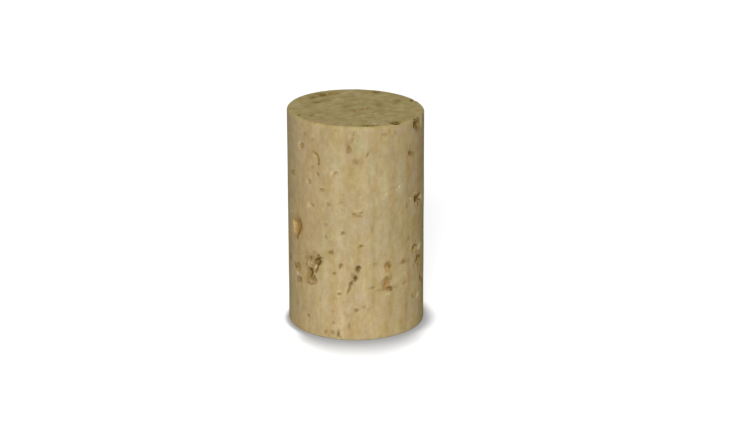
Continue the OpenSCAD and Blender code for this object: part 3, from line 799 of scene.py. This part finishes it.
class Graph:
    """Short calls for the nodes of one material."""

    def __init__(self, tree):
        self.tree = tree
        tree.nodes.clear()

    def node(self, kind, inputs=None, **props):
        """A new node. An input given as another node's output is linked to it."""
        made = self.tree.nodes.new(kind)
        for name, value in props.items():
            setattr(made, name, value)
        for key, value in (inputs or {}).items():
            if isinstance(value, bpy.types.NodeSocket):
                self.tree.links.new(value, made.inputs[key])
            else:
                made.inputs[key].default_value = value
        return made

    def show(self, kind, shown, socket):
        """Ends the graph in an output node that shows a shader."""
        self.tree.links.new(shown.outputs[0], self.node(kind).inputs[socket])

    def math(self, operation, a, b=0.0, c=0.0):
        return self.node("ShaderNodeMath", {0: a, 1: b, 2: c}, operation=operation).outputs[0]

    def scaled(self, value, low, high, to_low=0.0, to_high=1.0):
        """Value, smoothly scaled from low..high to to_low..to_high, and held there."""
        made = self.node("ShaderNodeMapRange",
                         {0: value, 1: low, 2: high, 3: to_low, 4: to_high},
                         interpolation_type="SMOOTHSTEP")
        return made.outputs[0]

    def held(self, value):
        """Value, held between 0 and 1."""
        return self.node("ShaderNodeClamp", {0: value}).outputs[0]

    def mix(self, share, a, b, blend="MIX"):
        """Colour a, with so large a share of colour b."""
        made = self.node("ShaderNodeMix", {0: share, 6: a, 7: b}, data_type="RGBA",
                         blend_type=blend)
        return made.outputs[2]

    def field(self, name):
        """A field of the mesh."""
        made = self.node("ShaderNodeAttribute", attribute_type="GEOMETRY", attribute_name=name)
        return made.outputs["Fac"]

    def noise(self, vector, scale, detail=2.0, roughness=0.5):
        """Noise, about 0.2 to 0.8, with so many features a unit and so many finer layers."""
        made = self.node("ShaderNodeTexNoise", {"Vector": vector, "Scale": scale,
                                                "Detail": detail, "Roughness": roughness})
        return made.outputs[0]


class CorkGraph(Graph):
    """The cork's nodes, with the patterns that its side and its ends share. Lengths are in mm."""

    def __init__(self, tree):
        super().__init__(tree)
        place = self.node("ShaderNodeTexCoord").outputs["Object"]
        to_mm = {"Vector": place, "Scale": (1 / MM,) * 3}
        self.mm = self.node("ShaderNodeMapping", to_mm).outputs[0]
        self.clouds = self.noise(self.stretched((1, 1, 0.5), 0.0, 7.0), 0.5, 3.0, 0.55)
        self.mottle = self.noise(self.stretched((1, 1, 0.6), 0.0, 3.0), 1.1, 4.0, 0.62)
        self.rough_edge = self.scaled(self.noise(self.mm, 3.2, 3.0, 0.65), 0.3, 0.7, 0.5, 1.5)

    def stretched(self, scale, turn=0.0, shift=0.0):
        """The place turned about Z, then scaled along each axis and shifted, for a new pattern."""
        turned = self.node("ShaderNodeVectorRotate", {"Vector": self.mm, "Angle": -turn},
                           rotation_type="Z_AXIS").outputs[0]
        return self.node("ShaderNodeMapping", {"Vector": turned, "Scale": scale,
                                               "Location": (shift, shift, shift)}).outputs[0]

    def share(self, name, most=1.0):
        """How far a painted field shows, with a rough edge."""
        rough = self.math("MULTIPLY", self.field(name), self.rough_edge)
        return self.held(self.math("MULTIPLY", rough, most))

    def toned(self, colour, value, low, high, most):
        """The colour made darker where a value is low, and lighter where it is high."""
        tone = self.mix(self.scaled(value, low, high), DARKER, LIGHTER)
        return self.mix(most, colour, tone, "MULTIPLY")


# Depth of the material's fine bump, in metres
BUMP_DEPTH = 0.00003
# Colours as seen on screen, and the factors that lighten and darken them
SIDE_TAN = srgb(183, 164, 120)
SIDE_WARM = srgb(193, 171, 124)
SIDE_PINK = srgb(190, 161, 117)
SIDE_GREEN = srgb(181, 171, 127)
SIDE_YELLOW = srgb(184, 163, 104)
SIDE_GREY = srgb(184, 166, 132)
SIDE_BROWN = srgb(160, 132, 86)
END_OLIVE = srgb(182, 163, 111)
END_YELLOW = srgb(180, 166, 109)
END_BROWN = srgb(153, 126, 77)
END_PALE = srgb(197, 179, 126)
END_PINK = srgb(197, 170, 124)
LIGHTER = (1.11, 1.145, 1.235, 1)
DARKER = (0.885, 0.845, 0.765, 1)
# brown of stains, also used for painted shade in pits
STAIN_AND_SHADE_BROWN = srgb(142, 116, 64)
# dark of the pits' cores, also used for painted shade in pits
CORE_AND_SHADE_DARK = srgb(90, 69, 18)
STAIN_RUST = srgb(178, 134, 76)
# pale of specks, also used for painted highlights and painted light
PALE_AND_PAINTED_LIGHT = srgb(222, 205, 154)
# pit linings: partly their own colour and partly painted shade
PIT_TAN = srgb(160, 136, 84)
PIT_BROWN = srgb(124, 98, 46)
END_PIT = srgb(118, 96, 48)


def side_colour(g):
    """The side: tan, with upright streaks and patches in other tones, and small flecks."""
    height = g.node("ShaderNodeSeparateXYZ", {0: g.mm}).outputs["Z"]
    # along the growth layers' normal the colour changes quickly, and up the wall slowly
    streaks = g.noise(g.stretched((1.0, 0.22, 0.05), BARK_DIR), 0.8, 3.0, 0.6)
    tint = g.noise(g.stretched((0.5, 0.2, 0.05), BARK_DIR, 40.0), 1.0)
    patches = g.noise(g.stretched((1, 1, 0.5), 0.0, 17.0), 0.55, 3.0, 0.6)
    flecks = g.noise(g.stretched((1, 1, 0.45), 0.0, 13.0), 2.2, 3.0, 0.6)

    # the side is paler and warmer towards the bottom
    colour = g.mix(g.scaled(height, 1.0, 26.0), SIDE_WARM, SIDE_TAN)
    colour = g.mix(g.scaled(tint, 0.4, 0.6, 0.0, 0.35), colour, SIDE_PINK)
    colour = g.mix(g.scaled(tint, 0.4, 0.2, 0.0, 0.35), colour, SIDE_GREEN)
    colour = g.mix(g.scaled(patches, 0.5, 0.68, 0.0, 0.6), colour, SIDE_YELLOW)
    colour = g.mix(g.scaled(patches, 0.5, 0.32, 0.0, 0.6), colour, SIDE_GREY)
    for field, tone in (("pink", SIDE_PINK), ("green", SIDE_GREEN), ("yellow", SIDE_YELLOW)):
        colour = g.mix(g.share(field, 0.8), colour, tone)
    colour = g.mix(g.scaled(streaks, 0.5, 0.8, 0.0, 0.3), colour, SIDE_BROWN)
    colour = g.mix(g.scaled(flecks, 0.57, 0.75, 0.0, 0.5), colour, SIDE_BROWN)
    colour = g.toned(colour, g.clouds, 0.35, 0.65, 0.4)
    colour = g.toned(colour, g.mottle, 0.38, 0.62, 0.4)
    colour = g.mix(g.share("light"), colour, LIGHTER, "MULTIPLY")
    colour = g.mix(g.share("shade", 0.7), colour, DARKER, "MULTIPLY")
    return g.toned(colour, g.field("layer"), -0.8, 0.8, 0.7)


def end_colour(g):
    """The cut ends: olive, with flecks that run along the bark's direction."""
    strokes = g.noise(g.stretched((0.45, 1.6, 1.0), BARK_DIR, 21.0), 0.75, 4.0, 0.6)
    colour = g.mix(g.scaled(g.noise(g.mm, 0.35), 0.4, 0.65), END_OLIVE, END_YELLOW)
    colour = g.mix(g.share("pink", 0.9), colour, END_PINK)
    colour = g.mix(g.share("green", 0.9), colour, END_YELLOW)
    colour = g.mix(g.scaled(strokes, 0.5, 0.72, 0.0, 0.5), colour, END_BROWN)
    colour = g.mix(g.scaled(strokes, 0.48, 0.3, 0.0, 0.42), colour, END_PALE)
    colour = g.toned(colour, g.mottle, 0.38, 0.62, 0.35)
    colour = g.toned(colour, g.clouds, 0.35, 0.65, 0.7)
    colour = g.mix(g.share("light", 0.7), colour, LIGHTER, "MULTIPLY")
    return g.mix(g.share("shade", 0.8), colour, DARKER, "MULTIPLY")


def marked(g, colour):
    """The colour with edges, pits and stains, partly painted light and shade; later ones lie on top."""
    # painted shade on the top's rounded edge
    colour = g.mix(g.math("MULTIPLY", g.field("rim"), 0.5), colour, DARKER, "MULTIPLY")
    # painted light on the bottom's rounded edge
    colour = g.mix(g.math("MULTIPLY", g.field("lit_foot"), 0.6), colour, PALE_AND_PAINTED_LIGHT)
    # the pits brown by their depth, partly as painted shade; brown and dark marks add painted shade in
    # some pits
    pit_colour = g.mix(g.field("cut_end"), PIT_TAN, END_PIT)
    for field, most, stain in (("hollow", 0.7, pit_colour), ("deep", 0.7, PIT_BROWN),
                               ("rust", 0.85, STAIN_RUST), ("pale_and_lit", 0.8, PALE_AND_PAINTED_LIGHT),
                               ("brown", 0.9, STAIN_AND_SHADE_BROWN), ("dark", 0.95, CORE_AND_SHADE_DARK)):
        colour = g.mix(g.share(field, most), colour, stain)
    return colour


def cork_material():
    """Cork: dull, a fine bump under colours of its side, ends, pits, stains, painted light and shade.
    """
    made = bpy.data.materials.new("natural_cork")
    made.use_nodes = True
    g = CorkGraph(made.node_tree)
    colour = marked(g, g.mix(g.field("cut_end"), side_colour(g), end_colour(g)))
    bump = g.node("ShaderNodeBump", {"Height": g.noise(g.mm, 6.0, 2.0, 0.6), "Strength": 0.35,
                                     "Distance": BUMP_DEPTH})
    shader = g.node("ShaderNodeBsdfPrincipled",
                    {"Base Color": colour, "Roughness": 0.85, "Specular IOR Level": 0.08,
                     "Normal": bump.outputs[0]})
    g.show("ShaderNodeOutputMaterial", shader, "Surface")
    return made


# ---------------- floor, light and camera

# The floor: its half width, how far it lies under the stopper, how much light it throws back, and
# how bright it shows, lit and by itself
FLOOR_HALF = 3.0
FLOOR_DROP = 0.00002
FLOOR_BOUNCE = 0.5
FLOOR_GAIN = 0.5
FLOOR_GLOW = 0.78
# Its contact shadow: how far it reaches at the left and at the right, how much further in front,
# between which places that sets in, and how dark it gets
SIDE_REACH = (0.0012, 0.0030)
FRONT_REACH = 0.0069
FRONT_STARTS = (-0.0065, -0.0125)
MIDDLE_ENDS = (0.003, 0.0145)
DARKEST = 0.36
# Each lamp: how bright a white surface that faces it shows, its turn round the stopper, how far
# it stands above the horizon, and its width and height. The fill's top is lower than the stopper's
KEY = (0.84, math.radians(-5), math.radians(30), 0.6, 0.6)
FILL = (0.45, math.radians(175), 0.0, 0.6, 0.03)
LAMP_DISTANCE = 2.4
AMBIENT = 0.2

CAMERA_AT = Vector((0.0, -0.429135, 0.165250))
CAMERA_AIM = Vector((0.00160, 0.0, 0.01965))
CAMERA_LENS = 126.56
CAMERA_ROLL = math.radians(-0.134)


def seen_directly(g):
    """1 for rays that show the surroundings: to the camera, in gloss and through clear things."""
    path = g.node("ShaderNodeLightPath").outputs
    seen = g.math("MAXIMUM", path["Is Camera Ray"], path["Is Glossy Ray"])
    return g.math("MAXIMUM", seen, path["Is Transmission Ray"])


def contact_shadow(g):
    """How bright the floor shows: 1 in the open, and down to DARKEST against the stopper."""
    coords = g.node("ShaderNodeTexCoord").outputs["Object"]
    place = g.node("ShaderNodeSeparateXYZ", {0: coords}).outputs
    side_reach = g.scaled(place["X"], -RADIUS * MM, RADIUS * MM, *SIDE_REACH)
    in_front = g.scaled(place["Y"], *FRONT_STARTS, 0.0, FRONT_REACH)
    near_middle = g.scaled(g.math("ABSOLUTE", place["X"]), *MIDDLE_ENDS, 1.0, 0.2)
    reach = g.math("ADD", side_reach, g.math("MULTIPLY", in_front, near_middle))
    open_sky = g.node("ShaderNodeAmbientOcclusion", {"Distance": reach}, samples=16)
    return g.math("MAXIMUM", g.math("POWER", open_sky.outputs["AO"], 2.0), DARKEST)


def floor_material():
    """White where no shadow falls, when it is seen directly, and a plain grey for other light."""
    made = bpy.data.materials.new("white_floor")
    made.use_nodes = True
    g = Graph(made.node_tree)
    plain = g.node("ShaderNodeBsdfDiffuse", {"Color": (FLOOR_BOUNCE,) * 3 + (1,)})
    share = contact_shadow(g)
    lit = g.node("ShaderNodeBsdfDiffuse", {"Color": g.math("MULTIPLY", share, FLOOR_GAIN)})
    glow = g.node("ShaderNodeEmission", {"Color": (1, 1, 1, 1),
                                         "Strength": g.math("MULTIPLY", share, FLOOR_GLOW)})
    shown = g.node("ShaderNodeAddShader", {0: lit.outputs[0], 1: glow.outputs[0]})
    mixed = g.node("ShaderNodeMixShader", {0: seen_directly(g), 1: plain.outputs[0],
                                           2: shown.outputs[0]})
    g.show("ShaderNodeOutputMaterial", mixed, "Surface")
    return made


def make_floor():
    """A wide flat floor, just under the stopper."""
    low, high = -FLOOR_HALF, FLOOR_HALF
    data = bpy.data.meshes.new("floor")
    data.from_pydata([(low, low, 0), (high, low, 0), (high, high, 0), (low, high, 0)], [],
                     [(0, 1, 2, 3)])
    data.materials.append(floor_material())
    floor = bpy.data.objects.new("floor", data)
    floor.location.z = -FLOOR_DROP
    bpy.context.scene.collection.objects.link(floor)


def make_lamp(name, brightness, turn, up, wide, high):
    """A large soft oval lamp that faces the stopper."""
    lamp = bpy.data.lights.new(name, "AREA")
    lamp.shape, lamp.size, lamp.size_y = "ELLIPSE", wide, high
    lamp.energy = brightness * math.pi ** 2 * LAMP_DISTANCE ** 2
    made = bpy.data.objects.new(name, lamp)
    way = Vector((math.sin(turn) * math.cos(up), -math.cos(turn) * math.cos(up), math.sin(up)))
    made.location = way * LAMP_DISTANCE + Vector((0, 0, LENGTH / 2 * MM))
    made.rotation_euler = way.to_track_quat("Z", "Y").to_euler()
    bpy.context.scene.collection.objects.link(made)


def make_light():
    """A key lamp in front, a little to the left, a low fill behind and an even surrounding."""
    world = bpy.data.worlds.new("studio")
    bpy.context.scene.world = world
    world.use_nodes = True
    g = Graph(world.node_tree)
    strength = g.scaled(seen_directly(g), 0.0, 1.0, AMBIENT, 1.0)
    back = g.node("ShaderNodeBackground", {"Color": (1, 1, 1, 1), "Strength": strength})
    g.show("ShaderNodeOutputWorld", back, "Surface")
    make_lamp("key", *KEY)
    make_lamp("fill", *FILL)


def make_camera():
    """The camera, in front of the stopper and looking down on it."""
    data = bpy.data.cameras.new("camera")
    data.sensor_width, data.lens = 36.0, CAMERA_LENS
    data.clip_start, data.clip_end = 0.01, 20.0
    camera = bpy.data.objects.new("camera", data)
    look = (CAMERA_AIM - CAMERA_AT).to_track_quat("-Z", "Y").to_matrix()
    turn = look @ Matrix.Rotation(CAMERA_ROLL, 3, "Z")
    camera.matrix_world = Matrix.Translation(CAMERA_AT) @ turn.to_4x4()
    bpy.context.scene.collection.objects.link(camera)
    bpy.context.scene.camera = camera


# ---------------- put together

bpy.context.scene.view_settings.view_transform = "Standard"
make_camera()
make_floor()
make_light()
cork = make_skin()
cork.data.materials.append(cork_material())
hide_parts("stopper")
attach(cork, "root")
